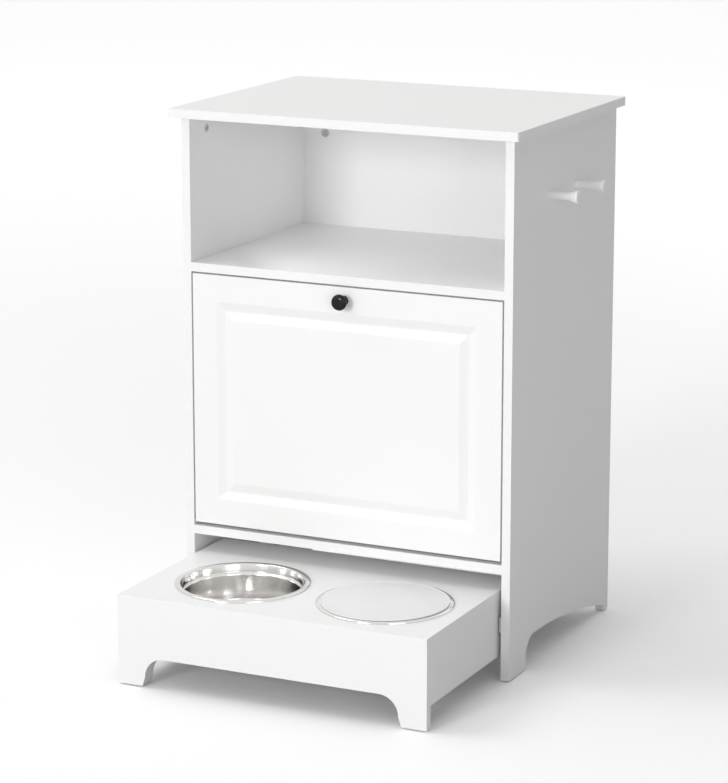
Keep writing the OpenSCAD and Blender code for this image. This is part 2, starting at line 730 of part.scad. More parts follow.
// outline of a bin side, front at the left
module bin_side_outline() polygon([[board_t, bin_z0], [bin_y1, bin_z0], [bin_y1, bin_z1],
  [bin_y1 - bin_level, bin_z1], [board_t + bin_level, bin_z1 + bin_rise],
  [board_t, bin_z1 + bin_rise]]);

module bin_side() difference() {
  translate([bin_x0, 0, 0]) rotate([90, 0, 90]) linear_extrude(bin_t) bin_side_outline();
  bin_screws_at(fit);
  bin_dowels_at(fit);
}
module bin_left_side() color(white) place() bin_side();
module bin_right_side() color(white) place() other_side() bin_side();

module bin_back() color(white) place() difference() {
  block([bin_x0 + bin_t, bin_y1 - bin_t, bin_z0], [bin_x1 - bin_t, bin_y1, bin_z1]);
  both_sides() bin_screws_at(fit);
}
module bin_bottom() color(white) place() difference() {
  block([bin_x0 + bin_t, board_t, bin_z0], [bin_x1 - bin_t, bin_y1 - bin_t, bin_z0 + bin_t]);
  both_sides() bin_screws_at(fit);
}
module bin_screws() color(zinc) place() both_sides() bin_screws_at();

// ---------- bowls and lid ----------

// a point of a line, moved square to the line towards its left
function beside(line, i, by) =
  let (a = line[max(i - 1, 0)], b = line[min(i + 1, len(line) - 1)], t = (b - a) / norm(b - a))
  line[i] + by * [-t[1], t[0]];

// closed outline of a sheet of even thickness along a line
function sheet_outline(line, t) =
  concat(line, [for (i = [len(line) - 1:-1:0]) beside(line, i, t)]);

// the upper face of a bowl's half section, from the rolled edge to the
// middle, with Z = 0 at the drawer's top face: a flat rim, a wall with a
// step in its upper part, a rounded corner and a flat bottom
step_z = -bowl_deep / 5;
wall_in = 10;                          // how far the wall leans in above the corner
corner_h = 14;
bowl_line = let (edge = bowl_d / 2, top = seat + rim_h, foot = bowl_foot_d / 2)
  concat(
    [[edge, seat], [edge - 0.2, seat + 1.5], [edge - 1, top - 0.5], [edge - 2.6, top]],
    [[mouth_r + 1.6, top], [mouth_r + 0.2, top - 0.9], [mouth_r - 0.8, top - 3]],
    [[mouth_r - 2.5, step_z + 3], [mouth_r - 5.5, step_z - 1]],
    [for (a = [0:15:90])
      [foot + (mouth_r - wall_in - foot) * cos(a), -bowl_deep + corner_h * (1 - sin(a))]],
    [[0, -bowl_deep]]);

module bowl(i) translate([bowl_x[i], bowl_cy, drawer_z])
  rotate_extrude($fn = 96) polygon(sheet_outline(bowl_line, bowl_wall));
module left_bowl() color(steel) place() bowl(0);
module right_bowl() color(steel) place() bowl(1);

// the lid: a low dome whose flat edge lies on the rim, with a ring under it
lid_z = drawer_z + rim_h + 2 * seat;
lid_crown = 2;                         // height of the dome over the edge
module lid_section() {
  edge = mouth_r + lid_over;
  out = mouth_r - 2;                   // outer face of the ring
  land = out - 3;                      // the dome ends here
  dome = [for (k = [0:5]) [land * k / 5, lid_crown * (1 - pow(k / 5, 2))]];
  ring = [[out - 1.6, 0], [out - 1.4, -lid_ring], [out - 0.3, -lid_ring], [out, 0.5 - lid_ring], [out, 0]];
  lip = [[edge - 0.7, 0], [edge, 0.6], [edge, lid_t - 0.1], [edge - 0.7, lid_t + 0.4]];
  over = [for (k = [5:-1:0]) dome[k] + [0, lid_t]];
  polygon(concat(dome, ring, lip, over));
}
module bowl_lid() color(white) place()
  translate([bowl_x[1], bowl_cy, lid_z]) rotate_extrude($fn = 96) lid_section();

// ---------- pick ----------

top_board();
left_side_panel();
right_side_panel();
back_panel();
middle_shelf();
lower_deck();
stop_batten();
batten_screws();
door_bumpers();
magnets();
side_cam_locks();
back_cam_locks();
shelf_cam_locks();
top_cam_bolts();
back_cam_bolts();
shelf_cam_bolts();
board_dowels();
front_peg();
rear_peg();
peg_screws();
pivot_bushes();
left_runner();
right_runner();
runner_screws();
cabinet_glides();
drawer_top();
drawer_front();
drawer_left_side();
drawer_right_side();
drawer_back();
top_cleats();
cleat_screws();
foot_blocks();
foot_block_screws();
drawer_dowels();
roller_brackets();
bracket_screws();
drawer_glides();
left_roller();
right_roller();
door_panel();
door_knob();
knob_screw();
strike_plates();
pivot_pins();
bin_left_side();
bin_right_side();
bin_back();
bin_bottom();
bin_screws();
bin_dowels();
left_bowl();
right_bowl();
bowl_lid();
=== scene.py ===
import json
import math

import bmesh
import bpy
from mathutils import Matrix, Vector

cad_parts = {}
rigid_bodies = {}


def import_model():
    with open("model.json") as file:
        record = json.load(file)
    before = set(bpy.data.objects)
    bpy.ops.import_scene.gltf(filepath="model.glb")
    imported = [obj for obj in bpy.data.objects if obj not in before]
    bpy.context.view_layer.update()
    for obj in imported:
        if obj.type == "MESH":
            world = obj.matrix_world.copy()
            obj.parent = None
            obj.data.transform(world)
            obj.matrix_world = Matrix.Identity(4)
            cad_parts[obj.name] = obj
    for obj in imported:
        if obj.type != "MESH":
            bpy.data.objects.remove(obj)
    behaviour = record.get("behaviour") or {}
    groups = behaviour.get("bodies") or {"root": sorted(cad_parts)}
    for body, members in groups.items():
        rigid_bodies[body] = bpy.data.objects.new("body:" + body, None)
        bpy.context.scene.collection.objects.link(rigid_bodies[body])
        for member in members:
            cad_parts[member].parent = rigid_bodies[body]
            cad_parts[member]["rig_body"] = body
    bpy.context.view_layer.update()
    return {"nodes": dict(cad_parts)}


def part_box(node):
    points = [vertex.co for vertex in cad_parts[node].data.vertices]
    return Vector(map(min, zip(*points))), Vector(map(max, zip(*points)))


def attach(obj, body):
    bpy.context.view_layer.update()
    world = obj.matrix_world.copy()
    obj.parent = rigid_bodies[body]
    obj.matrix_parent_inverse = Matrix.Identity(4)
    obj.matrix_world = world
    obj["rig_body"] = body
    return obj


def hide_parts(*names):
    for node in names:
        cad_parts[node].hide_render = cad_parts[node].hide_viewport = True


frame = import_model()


# ---------------------------------------------------------------- nodes and objects


def new_object(name, mesh):
    """Puts a finished mesh into the scene, unturned and at the origin."""
    made = bpy.data.objects.new(name, mesh)
    bpy.context.scene.collection.objects.link(made)
    return made


def shader_of(name):
    """A new material, its node tree and its Principled shader."""
    paint = bpy.data.materials.new(name)
    paint.use_nodes = True
    tree = paint.node_tree
    return paint, tree, tree.nodes["Principled BSDF"]


def fed(tree, made, values):
    """Sets a node's first inputs, each to a number or from a socket."""
    for socket, value in zip(made.inputs, values):
        if isinstance(value, (int, float)):
            socket.default_value = value
        else:
            tree.links.new(value, socket)
    return made.outputs[0]


def maths(tree, kind, *values):
    """A Math node; each operand is a number or a socket."""
    made = tree.nodes.new("ShaderNodeMath")
    made.operation = kind
    return fed(tree, made, values)


def vector(tree, *values):
    """A Combine XYZ node; each part is a number or a socket."""
    return fed(tree, tree.nodes.new("ShaderNodeCombineXYZ"), values)


def noise(tree, where, scale, detail=2.0, roughness=0.5):
    """A Noise texture's value; the scale is a number or a socket."""
    made = tree.nodes.new("ShaderNodeTexNoise")
    made.inputs["Detail"].default_value = detail
    made.inputs["Roughness"].default_value = roughness
    tree.links.new(where, made.inputs["Vector"])
    if isinstance(scale, (int, float)):
        made.inputs["Scale"].default_value = scale
    else:
        tree.links.new(scale, made.inputs["Scale"])
    return made.outputs["Fac"]


def mixed(tree, share, a, b):
    """A colour between two, by a share; each colour is a value or a socket."""
    made = tree.nodes.new("ShaderNodeMix")
    made.data_type = "RGBA"
    tree.links.new(share, made.inputs["Factor"])
    for label, value in (("A", a), ("B", b)):
        if isinstance(value, bpy.types.NodeSocket):
            tree.links.new(value, made.inputs[label])
        else:
            made.inputs[label].default_value = value
    return made.outputs["Result"]


def smooth_step(tree, value, low, high, start=0.0, stop=1.0):
    """Goes smoothly from start to stop while the value runs from low to high."""
    made = tree.nodes.new("ShaderNodeMapRange")
    made.interpolation_type = "SMOOTHSTEP"
    tree.links.new(value, made.inputs["Value"])
    for label, limit in (("From Min", low), ("From Max", high), ("To Min", start), ("To Max", stop)):
        made.inputs[label].default_value = limit
    return made.outputs["Result"]


# ---------------------------------------------------------------- studio
# A white sweep in a white room, seen through a long lens from the front right. The
# key light stands low in front, a little to the left. A weak light hangs at the upper
# left, fills stand at the right and behind, and a small lamp lights the open shelf.

YAW, PITCH, ROLL = 24.82, 12.59, 0.161          # degrees
EYE = (2.08239, -4.40149, 1.59929)              # metres
FOCAL_PX, LONG_SIDE = 2986.1, 783               # pixels
SHIFT = -0.05                                   # share of the long side

lens = bpy.data.cameras.new("long_lens")
lens.sensor_width = 36.0
lens.lens = FOCAL_PX / LONG_SIDE * lens.sensor_width
lens.shift_x = lens.shift_y = SHIFT
lens.clip_end = 200
camera = bpy.data.objects.new("camera", lens)
camera.matrix_world = (
    Matrix.Translation(EYE)
    @ Matrix.Rotation(math.radians(YAW), 4, "Z")
    @ Matrix.Rotation(math.radians(90 - PITCH), 4, "X")
    @ Matrix.Rotation(math.radians(ROLL), 4, "Z")
)
bpy.context.scene.collection.objects.link(camera)
bpy.context.scene.camera = camera

bpy.context.scene.view_settings.view_transform = "Standard"


LIT_FROM = (-0.55, -0.1, 0.83)                  # the room's bright side
ROOM_LEVEL, ROOM_SLOPE, ROOM_LEAST = 0.28, 0.6, 0.05
ROOM_SEEN = (0.98, 0.98, 0.98, 1)
# Azimuth in degrees and brightness of the flats round the set. Over the heights in
# FLATS_TOP, as the direction's upward part, they give way to white.
FLATS = ((-180, 0.9), (-171, 0.9), (-166, 0.12), (-147, 0.12), (-142, 1.25), (-110, 1.25),
         (-107, 0.6), (-90, 0.6), (-87, 0.08), (-62, 0.08), (-58, 0.8), (-40, 0.7), (-30, 1.1),
         (-8, 1.1), (-2, 0.12), (20, 0.12), (26, 0.8), (44, 0.8), (52, 0.2), (92, 0.2),
         (104, 0.9), (180, 0.9))
FLATS_TINT = (1, 0.995, 0.975)
FLATS_TOP = (0.78, 0.97)
WHITE = (1, 1, 1, 1)


def white_room():
    """A white studio, brighter at the upper left. Reflections see the bright and
    dark flats round the set instead, which draw the bands in polished steel."""
    room = bpy.data.worlds.new("white_room")
    room.use_nodes = True
    tree = room.node_tree
    new, link = tree.nodes.new, tree.links.new
    towards = new("ShaderNodeTexCoord").outputs["Generated"]
    lean = new("ShaderNodeVectorMath")
    lean.operation = "DOT_PRODUCT"
    link(towards, lean.inputs[0])
    lean.inputs[1].default_value = LIT_FROM
    wall = maths(tree, "MAXIMUM",
                 maths(tree, "MULTIPLY_ADD", lean.outputs["Value"], ROOM_SLOPE, ROOM_LEVEL), ROOM_LEAST)
    grey = new("ShaderNodeCombineColor")
    for socket in grey.inputs[:3]:
        link(wall, socket)

    parts = new("ShaderNodeSeparateXYZ")
    link(towards, parts.inputs[0])
    x, y, z = parts.outputs
    turn = maths(tree, "DIVIDE", maths(tree, "ADD", maths(tree, "ARCTAN2", y, x), math.pi), 2 * math.pi)
    flats = new("ShaderNodeValToRGB")
    link(turn, flats.inputs["Fac"])
    ramp = flats.color_ramp
    while len(ramp.elements) > 1:
        ramp.elements.remove(ramp.elements[-1])
    for k, (azimuth, level) in enumerate(FLATS):
        dot = ramp.elements[0] if k == 0 else ramp.elements.new(0.0)
        dot.position = (azimuth + 180) / 360
        dot.color = (*[level * c for c in FLATS_TINT], 1)
    around = mixed(tree, smooth_step(tree, z, *FLATS_TOP), flats.outputs["Color"], WHITE)

    rays = new("ShaderNodeLightPath").outputs
    mirrored = mixed(tree, rays["Is Glossy Ray"], grey.outputs["Color"], around)
    seen = mixed(tree, rays["Is Camera Ray"], mirrored, ROOM_SEEN)
    link(seen, tree.nodes["Background"].inputs["Color"])
    return room


bpy.context.scene.world = white_room()


def soft_light(name, place, aim, size, watts, mirrored=True):
    """A square softbox that faces a point. Its own face is never in the picture,
    and with mirrored=False it isn't in reflections either."""
    data = bpy.data.lights.new(name, "AREA")
    data.shape = "SQUARE"
    data.size = size
    data.energy = watts
    lamp = bpy.data.objects.new(name, data)
    lamp.location = place
    lamp.rotation_euler = (Vector(aim) - Vector(place)).to_track_quat("-Z", "Y").to_euler()
    lamp.visible_camera = False
    lamp.visible_glossy = mirrored
    bpy.context.scene.collection.objects.link(lamp)


soft_light("key_softbox", (-1.15, -6.3, 2.0), (0, 0, 0.6), 1.5, 146)
soft_light("top_softbox", (-3.5, -1.0, 5.0), (0, 0, 0.4), 2.4, 70)
soft_light("right_fill", (4.2, -4.4, 1.3), (0, 0, 0.5), 2.5, 60)
soft_light("shelf_lamp", (-0.17, -0.06, 0.8), (0.25, 0.3, 0.69), 0.16, 0.15, mirrored=False)
soft_light("back_fill", (1.5, 5.0, 3.0), (0, 0, 0.5), 3.0, 30)


# The floor is a white sweep with a painted glow that only the camera sees, stronger
# far behind the cabinet, and it throws back less light than it shows.
FLOOR_HALF = 40                                 # metres
FLOOR_TONES = ((0.97, 0.97, 0.97, 1), (0.99, 0.99, 0.99, 1))
FLOOR_CLOUDS = 0.6
FLOOR_PAINTED_GLOW, FAR_PAINTED_GLOW = 0.05, 0.34
NEAR, FAR = 0.8, 7.0                            # metres from the cabinet
FLOOR_BOUNCE = (0.58, 0.58, 0.58, 1)


def floor_paint():
    """White from above and clear from below, so that the underside can be seen."""
    paint, tree, bsdf = shader_of("studio_floor")
    place = tree.nodes.new("ShaderNodeTexCoord").outputs["Object"]
    seen = tree.nodes.new("ShaderNodeLightPath").outputs["Is Camera Ray"]
    shade = mixed(tree, noise(tree, place, FLOOR_CLOUDS), *FLOOR_TONES)
    tree.links.new(mixed(tree, seen, FLOOR_BOUNCE, shade), bsdf.inputs["Base Color"])
    span = tree.nodes.new("ShaderNodeVectorMath")
    span.operation = "LENGTH"
    tree.links.new(place, span.inputs[0])
    # Painted glow: the floor emits light for the camera only, more the further it lies from the cabinet.
    painted_glow = smooth_step(tree, span.outputs["Value"], NEAR, FAR, FLOOR_PAINTED_GLOW, FAR_PAINTED_GLOW)
    tree.links.new(maths(tree, "MULTIPLY", seen, painted_glow), bsdf.inputs["Emission Strength"])
    side = tree.nodes.new("ShaderNodeNewGeometry").outputs["Backfacing"]
    tree.links.new(maths(tree, "SUBTRACT", 1, side), bsdf.inputs["Alpha"])
    bsdf.inputs["Emission Color"].default_value = WHITE
    bsdf.inputs["Roughness"].default_value = 0.7
    bsdf.inputs["Specular IOR Level"].default_value = 0.2
    return paint


floor_mesh = bpy.data.meshes.new("floor")
corners = [(x * FLOOR_HALF, y * FLOOR_HALF, 0) for x, y in ((-1, -1), (1, -1), (1, 1), (-1, 1))]
floor_mesh.from_pydata(corners, [], [(0, 1, 2, 3)])
floor_mesh.materials.append(floor_paint())
floor = new_object("floor", floor_mesh)

# ---------------------------------------------------------------- white boards
# Fibreboard 15 mm thick under a white satin laminate. The panels are sawn, their
# edges are eased by a router, and cam locks, bolts and dowels hold them together.

EASED = "eased"          # face attribute: 1 on the eased edges


def group_of(name, inputs, outputs):
    """An empty shader node group with these sockets, and its two end nodes."""
    group = bpy.data.node_groups.new(name, "ShaderNodeTree")
    kinds = {"f": "NodeSocketFloat", "c": "NodeSocketColor", "v": "NodeSocketVector"}
    for label, kind, value in inputs:
        made = group.interface.new_socket(label, in_out="INPUT", socket_type=kinds[kind])
        if value is not None:
            made.default_value = value
    for label, kind in outputs:
        group.interface.new_socket(label, in_out="OUTPUT", socket_type=kinds[kind])
    return group, group.nodes.new("NodeGroupInput"), group.nodes.new("NodeGroupOutput")


def handled_surface():
    """Slow drift of tone and gloss, a fine skin, and rubbed eased edges."""
    group, start, end = group_of(
        "handled_surface",
        [("Vector", "v", None), ("Eased", "f", 0.0), ("Colour", "c", None), ("Deep colour", "c", None),
         ("Rubbed colour", "c", None), ("Rub", "f", 0.5), ("Gloss", "f", 0.4), ("Gloss drift", "f", 0.1),
         ("Grain", "f", 900.0), ("Drift scale", "f", 5.0)],
        [("Colour", "c"), ("Roughness", "f"), ("Height", "f")])
    ins = start.outputs
    drift = noise(group, ins["Vector"], ins["Drift scale"], 3)
    fine = noise(group, ins["Vector"], ins["Grain"], 2)
    broken = noise(group, ins["Vector"], maths(group, "MULTIPLY", ins["Grain"], 0.08), 4, 0.6)
    patchy = maths(group, "SMOOTH_MIN", maths(group, "MULTIPLY", broken, 1.6), 1.0, 0.2)
    rub = maths(group, "MULTIPLY", maths(group, "MULTIPLY", ins["Eased"], ins["Rub"]), patchy)
    tone = mixed(group, drift, ins["Deep colour"], ins["Colour"])
    group.links.new(mixed(group, rub, tone, ins["Rubbed colour"]), end.inputs["Colour"])
    off = maths(group, "SUBTRACT", drift, 0.5)
    swing = maths(group, "MULTIPLY_ADD", off, ins["Gloss drift"], ins["Gloss"])
    group.links.new(maths(group, "MULTIPLY_ADD", rub, 0.12, swing), end.inputs["Roughness"])
    group.links.new(fine, end.inputs["Height"])
    return group


HANDLED = handled_surface()


def handled(name, colour, deep, rubbed, gloss, rub=0.5, gloss_drift=0.1, grain=900.0, drift=5.0,
            bump=0.1, bump_mm=0.05, metallic=0.0, **sockets):
    """A material on the handled surface group; sockets are set on the shader itself."""
    paint, tree, bsdf = shader_of(name)
    place = tree.nodes.new("ShaderNodeTexCoord")
    turn = tree.nodes.new("ShaderNodeMapping")
    edge = tree.nodes.new("ShaderNodeAttribute")
    edge.attribute_name = EASED
    skin = tree.nodes.new("ShaderNodeGroup")
    skin.node_tree = HANDLED
    bumps = tree.nodes.new("ShaderNodeBump")
    bumps.inputs["Strength"].default_value = bump
    bumps.inputs["Distance"].default_value = bump_mm / 1000
    for label, value in (("Colour", colour), ("Deep colour", deep), ("Rubbed colour", rubbed)):
        skin.inputs[label].default_value = (*value, 1)
    for label, value in (("Rub", rub), ("Gloss", gloss), ("Gloss drift", gloss_drift), ("Grain", grain),
                         ("Drift scale", drift)):
        skin.inputs[label].default_value = value
    link = tree.links.new
    link(place.outputs["Object"], turn.inputs["Vector"])
    link(turn.outputs["Vector"], skin.inputs["Vector"])
    link(edge.outputs["Fac"], skin.inputs["Eased"])
    link(skin.outputs["Colour"], bsdf.inputs["Base Color"])
    link(skin.outputs["Roughness"], bsdf.inputs["Roughness"])
    link(skin.outputs["Height"], bumps.inputs["Height"])
    link(bumps.outputs["Normal"], bsdf.inputs["Normal"])
    bsdf.inputs["Metallic"].default_value = metallic
    for label, value in sockets.items():
        bsdf.inputs[label.replace("_", " ")].default_value = value
    return paint


def welded_copy(node):
    """A node's mesh as a bmesh with its triangles joined and its flats whole."""
    shape = bmesh.new()
    shape.from_mesh(frame["nodes"][node].data)
    bmesh.ops.remove_doubles(shape, verts=shape.verts[:], dist=2e-6)
    bmesh.ops.dissolve_limit(shape, angle_limit=math.radians(1), use_dissolve_boundaries=False,
                             verts=shape.verts[:], edges=shape.edges[:])
    return shape


def ease_edges(shape, radius, steep, steps, mark):
    """Rounds every edge that turns by more than steep degrees."""
    limit = math.radians(steep)
    sharp = [e for e in shape.edges if len(e.link_faces) == 2 and e.calc_face_angle(0) > limit]
    made = bmesh.ops.bevel(shape, geom=sharp, offset=radius, offset_type="OFFSET", segments=steps,
                           profile=0.5, affect="EDGES", clamp_overlap=True)
    for face in made["faces"]:
        if face.is_valid:
            face[mark] = 1.0


def shade_smooth(mesh, sharp):
    """Smooth shading, with edges that turn by more than an angle in degrees kept sharp."""
    for face in mesh.polygons:
        face.use_smooth = True
    mesh.set_sharp_from_angle(angle=math.radians(sharp))


def finish_mesh(shape, name, paint, smooth=32):
    """Turns a bmesh into a smooth-shaded object, sharp past an angle in degrees."""
    mesh = bpy.data.meshes.new(name)
    shape.to_mesh(mesh)
    shape.free()
    mesh.materials.append(paint)
    shade_smooth(mesh, smooth)
    return new_object(name, mesh)


def keep_made(piece):
    """Turns what the modifiers make of a piece into its plain mesh."""
    made = piece.evaluated_get(bpy.context.evaluated_depsgraph_get())
    mesh = bpy.data.meshes.new_from_object(made)
    piece.modifiers.clear()
    mesh.name = piece.name
    piece.data = mesh


def hold_flats(piece):
    """Keeps flat faces flat next to their rounded edges."""
    even = piece.modifiers.new("even_normals", "WEIGHTED_NORMAL")
    even.keep_sharp = True
    even.weight = 100
    keep_made(piece)


def body_with(node):
    """The name of the body that a node rides on."""
    return frame["nodes"][node]["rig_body"]


def dressed(piece, node):
    """Lets a new piece ride with a node's body and stand for the node."""
    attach(piece, body_with(node))
    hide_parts(node)


def eased(node, radius_mm, paint, steps=2, steep=35):
    """A copy of a node with rounded edges, which stands for it."""
    shape = welded_copy(node)
    mark = shape.faces.layers.float.new(EASED)
    ease_edges(shape, radius_mm / 1000, steep, steps, mark)
    piece = finish_mesh(shape, node + "_shown", paint, smooth=50)
    hold_flats(piece)
    dressed(piece, node)


laminate = handled("white_laminate", (0.905, 0.906, 0.903), (0.885, 0.887, 0.885), (0.93, 0.93, 0.925),
                   gloss=0.36, rub=0.4, gloss_drift=0.08, grain=750.0, drift=3.0, bump=0.12, bump_mm=0.03)

for node, radius in (("top_board", 1.5), ("left_side_panel", 0.8), ("right_side_panel", 0.8),
                     ("back_panel", 0.5), ("middle_shelf", 0.9), ("lower_deck", 0.9), ("stop_batten", 0.8)):
    eased(node, radius, laminate, steps=3)

# ---------------------------------------------------------------- door and bin
# The door is one board with a V groove routed round a flat field and sprayed
# white. The bin behind it is made of thinner laminated boards.

sprayed = handled("sprayed_white", (0.915, 0.915, 0.912), (0.898, 0.899, 0.897), (0.935, 0.935, 0.93),
                  gloss=0.33, rub=0.3, gloss_drift=0.06, grain=420.0, drift=2.5, bump=0.1, bump_mm=0.04)


def routed_door():
    shape = welded_copy("door_panel")
    mark = shape.faces.layers.float.new(EASED)
    ease_edges(shape, 0.0011, 60, 3, mark)
    soft = [e for e in shape.edges if len(e.link_faces) == 2
            and math.radians(12) < e.calc_face_angle(0) < math.radians(50)
            and e.calc_length() > 0.006 and not any(f[mark] for f in e.link_faces)]
    bmesh.ops.bevel(shape, geom=soft, offset=0.0018, offset_type="OFFSET", segments=3, profile=0.5,
                    affect="EDGES", clamp_overlap=True)
    door = finish_mesh(shape, "routed_door", sprayed, smooth=50)
    hold_flats(door)
    dressed(door, "door_panel")


routed_door()
for node in ("bin_left_side", "bin_right_side", "bin_back", "bin_bottom"):
    eased(node, 0.6, laminate)

# ---------------------------------------------------------------- feeding drawer
# A low box on rollers. Its top has two round holes for the bowls, and its
# front board stands on two feet with an arch between them.

for node, radius in (("drawer_top", 1.4), ("drawer_front", 1.4), ("drawer_left_side", 0.8),
                     ("drawer_right_side", 0.8), ("drawer_back", 0.8), ("foot_blocks", 0.8)):
    eased(node, radius, laminate, steps=3)

# ---------------------------------------------------------------- knob and pegs
# The knob is a turned mushroom in black gloss enamel. The pegs are turned beech,
# painted white, with flared heads; each takes a screw from inside the cabinet.


def swept_line(points, per_step=5):
    """A smooth line through points that keeps doubled points sharp."""
    def at(i):
        return Vector(points[max(0, min(i, len(points) - 1))])
    line = [at(0)]
    for i in range(len(points) - 1):
        p0, p1, p2, p3 = at(i - 1), at(i), at(i + 1), at(i + 2)
        if (p2 - p1).length < 1e-9:
            continue
        if (p1 - p0).length < 1e-9:
            p0 = p1 - (p2 - p1)
        if (p3 - p2).length < 1e-9:
            p3 = p2 + (p2 - p1)
        for k in range(1, per_step + 1):
            t = k / per_step
            line.append(0.5 * ((2 * p1) + (p2 - p0) * t + (2 * p0 - 5 * p1 + 4 * p2 - p3) * t * t
                               + (3 * p1 - p0 - 3 * p2 + p3) * t ** 3))
    return line


def turned(name, line, place, paint, slices=96, smooth=35):
    """A closed lathe shape; line is (radius, height) in mm from pole to pole,
    and place maps the lathe's axis Z to where the piece sits."""
    shape = bmesh.new()
    rings = []
    for r, h in line:
        if r < 1e-6:
            rings.append([shape.verts.new(place @ Vector((0, 0, h / 1000)))])
        else:
            rings.append([shape.verts.new(place @ Vector((
                r / 1000 * math.cos(2 * math.pi * k / slices),
                r / 1000 * math.sin(2 * math.pi * k / slices), h / 1000))) for k in range(slices)])
    for low, high in zip(rings, rings[1:]):
        for k in range(slices):
            n = (k + 1) % slices
            if len(low) == 1 and len(high) > 1:
                shape.faces.new((low[0], high[k], high[n]))
            elif len(high) == 1 and len(low) > 1:
                shape.faces.new((low[k], high[0], low[n]))
            elif len(low) > 1:
                shape.faces.new((low[k], high[k], high[n], low[n]))
    bmesh.ops.remove_doubles(shape, verts=shape.verts[:], dist=1e-7)
    bmesh.ops.recalc_face_normals(shape, faces=shape.faces[:])
    return finish_mesh(shape, name, paint, smooth)


enamel = handled("black_enamel", (0.012, 0.012, 0.013), (0.018, 0.018, 0.02), (0.05, 0.05, 0.05),
                 gloss=0.2, rub=0.2, gloss_drift=0.08, grain=500.0, drift=60.0, bump=0.05, bump_mm=0.02,
                 Specular_IOR_Level=0.15, Coat_Weight=0.1, Coat_Roughness=0.08)
painted = handled("painted_peg", (0.91, 0.91, 0.905), (0.88, 0.88, 0.878), (0.93, 0.93, 0.92),
                  gloss=0.38, rub=0.3, gloss_drift=0.1, grain=600.0, drift=30.0, bump=0.16, bump_mm=0.05)

KNOB_D, KNOB_L = 27.0, 25.0                     # mm
PEG_STUB, PEG_R, PEG_HEAD_R = 5.0, 6.5, 10.5    # mm; the stub sits in the panel


def knob():
    low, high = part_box("door_knob")
    centre = Vector(((low.x + high.x) / 2, high.y, (low.z + high.z) / 2))
    r, l = KNOB_D / 2, KNOB_L
    line = [(0, 0), (0, 0), (r * 0.6, 0), (r * 0.6, 0), (r * 0.59, 1.6), (r * 0.5, 3.6),
            (r * 0.45, l * 0.32), (r * 0.46, l * 0.44), (r * 0.58, l * 0.53), (r * 0.82, l * 0.58),
            (r * 0.97, l * 0.66), (r, l * 0.74), (r * 0.97, l * 0.83), (r * 0.86, l * 0.915),
            (r * 0.64, l * 0.968), (r * 0.34, l * 0.993), (0, l), (0, l)]
    place = Matrix.Translation(centre) @ Matrix.Rotation(math.radians(90), 4, "X")
    dressed(turned("black_knob", swept_line(line, 4), place, enamel, 72), "door_knob")


knob()


def peg(node):
    low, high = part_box(node)
    middle = (low + high) / 2
    l = (high.x - low.x) * 1000
    stub, r, head = PEG_STUB, PEG_R, PEG_HEAD_R
    out = l - stub
    line = [(0, 0), (0, 0), (r, 0), (r, 0), (r, stub), (r, stub + out * 0.3),
            (r * 0.985, stub + out * 0.5), (r, stub + out * 0.64), (r + 0.9, stub + out * 0.74),
            (head - 1.4, stub + out * 0.84), (head - 0.2, stub + out * 0.9), (head - 0.1, stub + out * 0.94),
            (head - 0.9, l - 1.0), (head - 2.4, l - 0.2), (head - 5, l), (head - 5, l), (0, l), (0, l)]
    place = Matrix.Translation((low.x, middle.y, middle.z)) @ Matrix.Rotation(math.radians(90), 4, "Y")
    dressed(turned(node + "_turned", swept_line(line, 4), place, painted, 64), node)


peg("front_peg")
peg("rear_peg")

# ---------------------------------------------------------------- bowls and lid
# Two steel bowls pressed from 1 mm sheet, with a flat rim rolled at its edge and
# a step in the wall, polished on a lathe. A pale moulded lid lies on the right one.


def lathe_marks():
    """Fine rings round the vertical axis, as a buffing wheel leaves them."""
    group, start, end = group_of("lathe_marks",
                                 [("Vector", "v", None), ("Rings", "f", 900.0), ("Blur", "f", 0.15)],
                                 [("Height", "f"), ("Roughness", "f")])
    cut = group.nodes.new("ShaderNodeSeparateXYZ")
    group.links.new(start.outputs["Vector"], cut.inputs[0])
    x, y, z = cut.outputs
    squares = maths(group, "ADD", maths(group, "MULTIPLY", x, x), maths(group, "MULTIPLY", y, y))
    far = maths(group, "SQRT", squares)
    rings = noise(group, vector(group, far, z), start.outputs["Rings"], 4, 0.6)
    cloud = noise(group, start.outputs["Vector"], 18.0, 3)
    group.links.new(rings, end.inputs["Height"])
    mixed_up = maths(group, "MULTIPLY_ADD", maths(group, "SUBTRACT", rings, 0.5), 0.12, start.outputs["Blur"])
    group.links.new(maths(group, "MULTIPLY_ADD", maths(group, "SUBTRACT", cloud, 0.5), 0.06, mixed_up),
                    end.inputs["Roughness"])
    return group


RINGS = lathe_marks()


def turned_metal(name, colour, centre, blur, rings=900.0, bump=0.06):
    """Polished steel with its rings centred on one piece."""
    paint, tree, bsdf = shader_of(name)
    place = tree.nodes.new("ShaderNodeTexCoord")
    turn = tree.nodes.new("ShaderNodeMapping")
    turn.inputs["Location"].default_value = (-centre[0], -centre[1], 0)
    marks = tree.nodes.new("ShaderNodeGroup")
    marks.node_tree = RINGS
    marks.inputs["Rings"].default_value = rings
    marks.inputs["Blur"].default_value = blur
    bumps = tree.nodes.new("ShaderNodeBump")
    bumps.inputs["Strength"].default_value = bump
    bumps.inputs["Distance"].default_value = 0.00003
    link = tree.links.new
    link(place.outputs["Object"], turn.inputs["Vector"])
    link(turn.outputs["Vector"], marks.inputs["Vector"])
    link(marks.outputs["Roughness"], bsdf.inputs["Roughness"])
    link(marks.outputs["Height"], bumps.inputs["Height"])
    link(bumps.outputs["Normal"], bsdf.inputs["Normal"])
    cloud = noise(tree, turn.outputs["Vector"], 12.0, 3)
    link(mixed(tree, cloud, (*[c * 0.94 for c in colour], 1), (*colour, 1)), bsdf.inputs["Base Color"])
    bsdf.inputs["Metallic"].default_value = 1.0
    return paint


